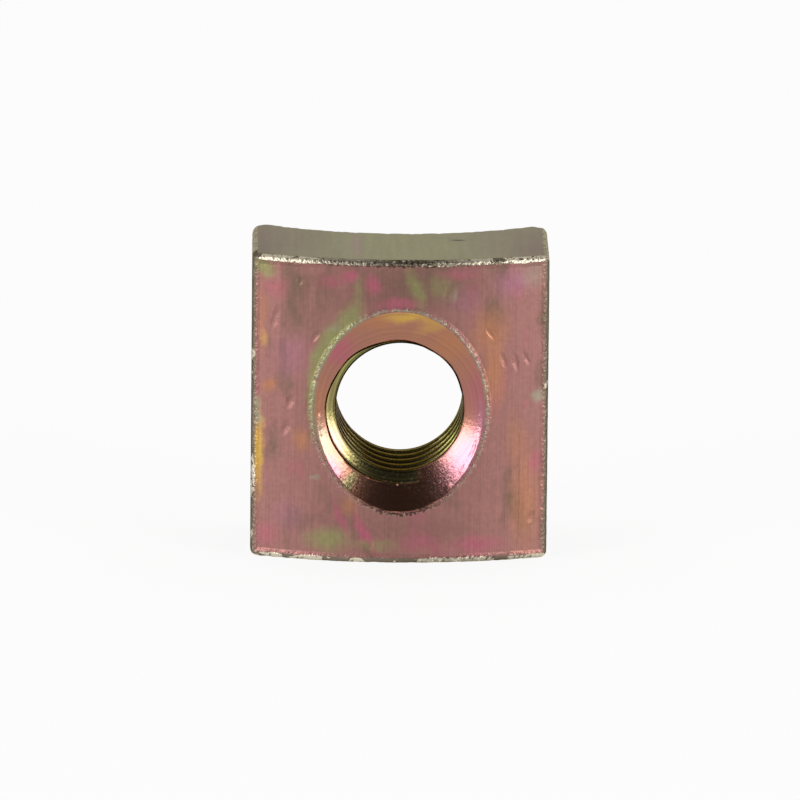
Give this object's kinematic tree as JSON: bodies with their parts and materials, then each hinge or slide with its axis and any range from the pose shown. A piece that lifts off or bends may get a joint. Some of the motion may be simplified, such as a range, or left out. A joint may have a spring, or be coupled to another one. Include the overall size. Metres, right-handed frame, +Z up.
{
  "type": "t slot nut",
  "caption": "Curved block nut for a slotted rail: bulged front, hollow back, flat sides and ends, with a countersunk M10 threaded through-hole.",
  "frame": {"origin": "on the lower cut end, in the middle of the nut's width and of its overall depth", "axes": "+Z up along the bar from the lower to the upper cut end, +Y from the bulged front to the hollow back, +X across the width; the bulged, countersunk front faces -Y"},
  "size_m": [0.0196, 0.012, 0.0204],
  "materials": {
    "zinc_chromate_steel": "zinc plate with a yellow chromate film, rose and olive in patches"
  },
  "bodies": {
    "root": {"nut_body": "zinc_chromate_steel"}
  },
  "joints": []
}
